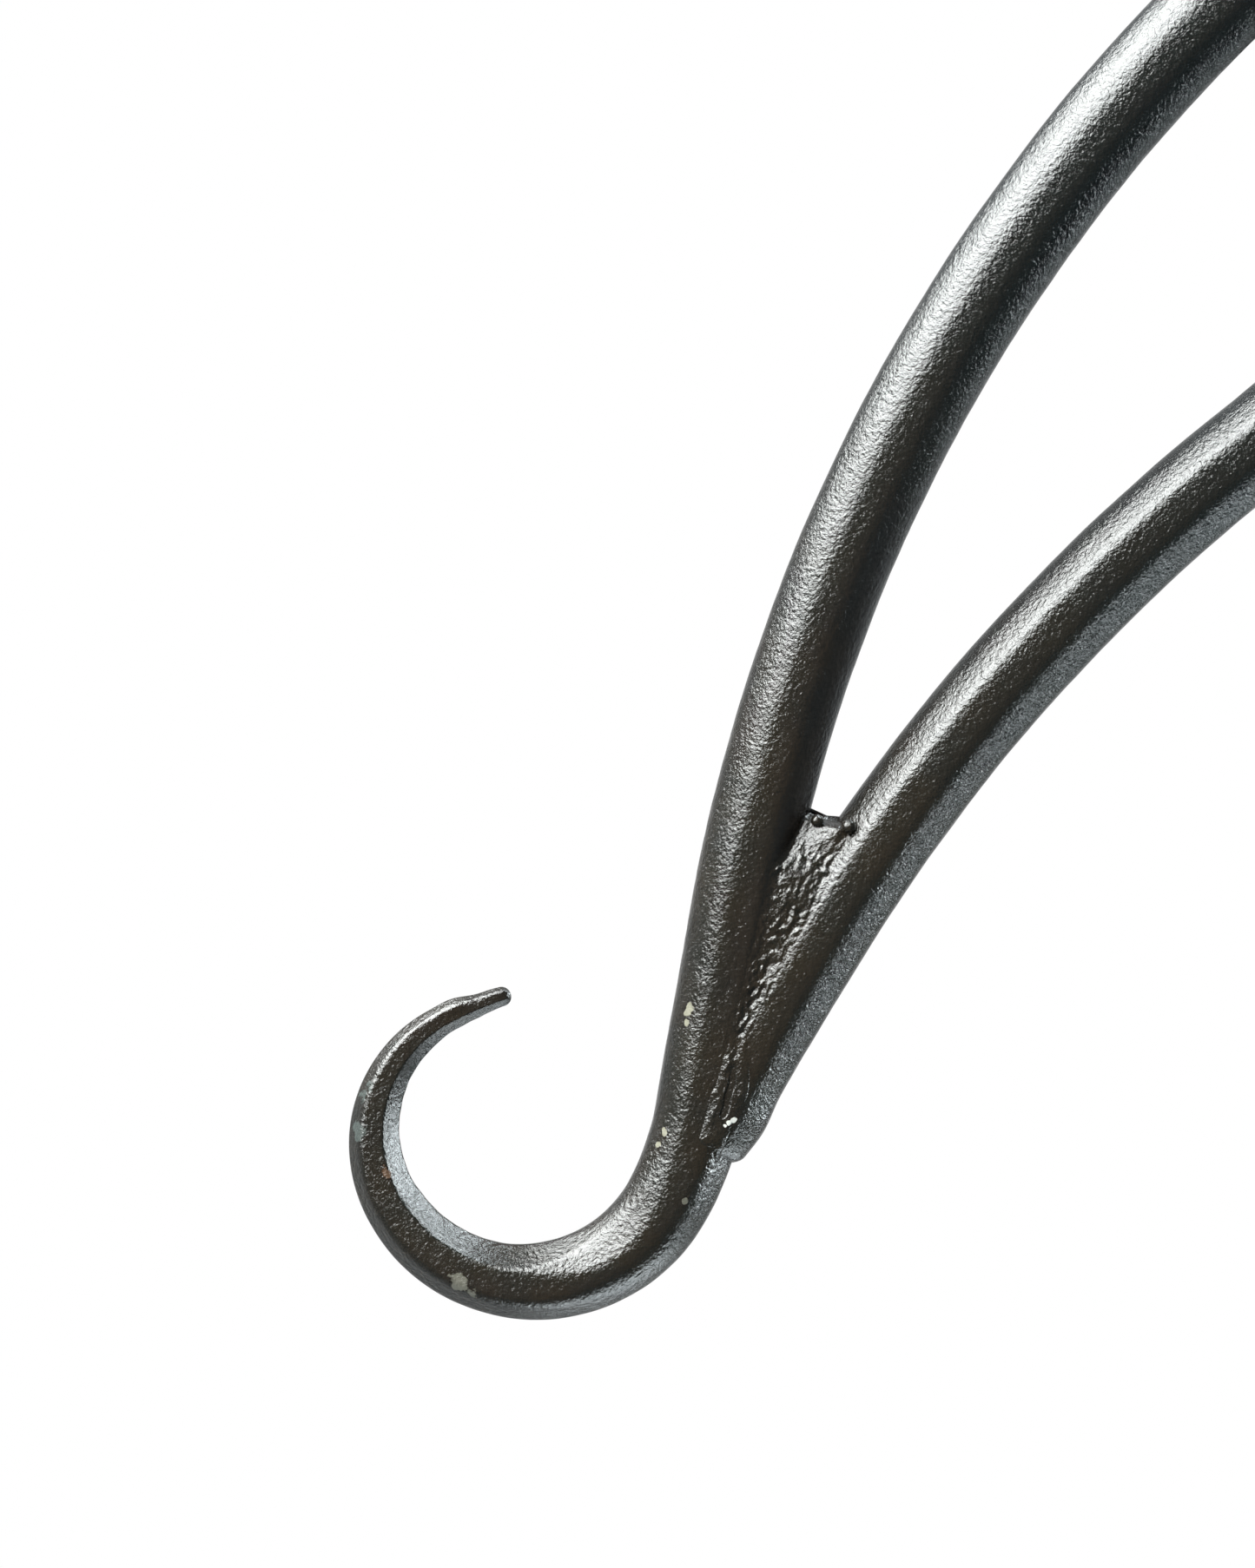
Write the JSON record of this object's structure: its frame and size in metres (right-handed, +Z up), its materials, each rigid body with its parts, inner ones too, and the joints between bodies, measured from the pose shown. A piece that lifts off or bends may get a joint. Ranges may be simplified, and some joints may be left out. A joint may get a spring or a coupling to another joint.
{
  "type": "shutter dog holdback",
  "caption": "S-shaped shutter dog of two forged bars with round hooked ends, turning on a post that stands off a round wall plate.",
  "frame": {"origin": "where the pivot axis meets the wall, in the plane of the wall plate's back face", "axes": "+Z up, +X along the wall to the right as seen from outside, -Y out of the wall"},
  "size_m": [0.048, 0.1072, 0.2675],
  "materials": {
    "forged_bar": "gloss black paint over hammered steel",
    "seam_weld": "gloss black paint over rippled weld metal",
    "hub_weld": "gloss black paint over weld metal",
    "hub": "gloss black paint",
    "post": "satin black paint",
    "plate": "gloss black paint over forged plate",
    "washer": "satin black paint",
    "nut": "satin black paint",
    "screw": "satin black paint"
  },
  "bodies": {
    "wall_mount": {"wall_plate": "plate", "pivot_post": "post", "post_weld": "hub_weld", "back_washer": "washer", "front_washer": "washer", "lock_nut": "nut", "cap_nut": "nut", "wall_screw_1": "screw", "wall_screw_2": "screw", "wall_screw_3": "screw", "wall_screw_4": "screw"},
    "dog": {"lower_hook_bar": "forged_bar", "upper_hook_bar": "forged_bar", "pivot_hub": "hub", "lower_seam_weld_front": "seam_weld", "lower_seam_weld_back": "seam_weld", "upper_seam_weld_front": "seam_weld", "upper_seam_weld_back": "seam_weld", "hub_weld_lower_bar_front": "hub_weld", "hub_weld_lower_bar_back": "hub_weld", "hub_weld_upper_bar_front": "hub_weld", "hub_weld_upper_bar_back": "hub_weld"}
  },
  "joints": [
    {"name": "dog_swing", "type": "hinge", "parent": "wall_mount", "child": "dog", "pos_m": [0, -0.048, 0], "axis": [0, 1, 0], "continuous": true}
  ]
}
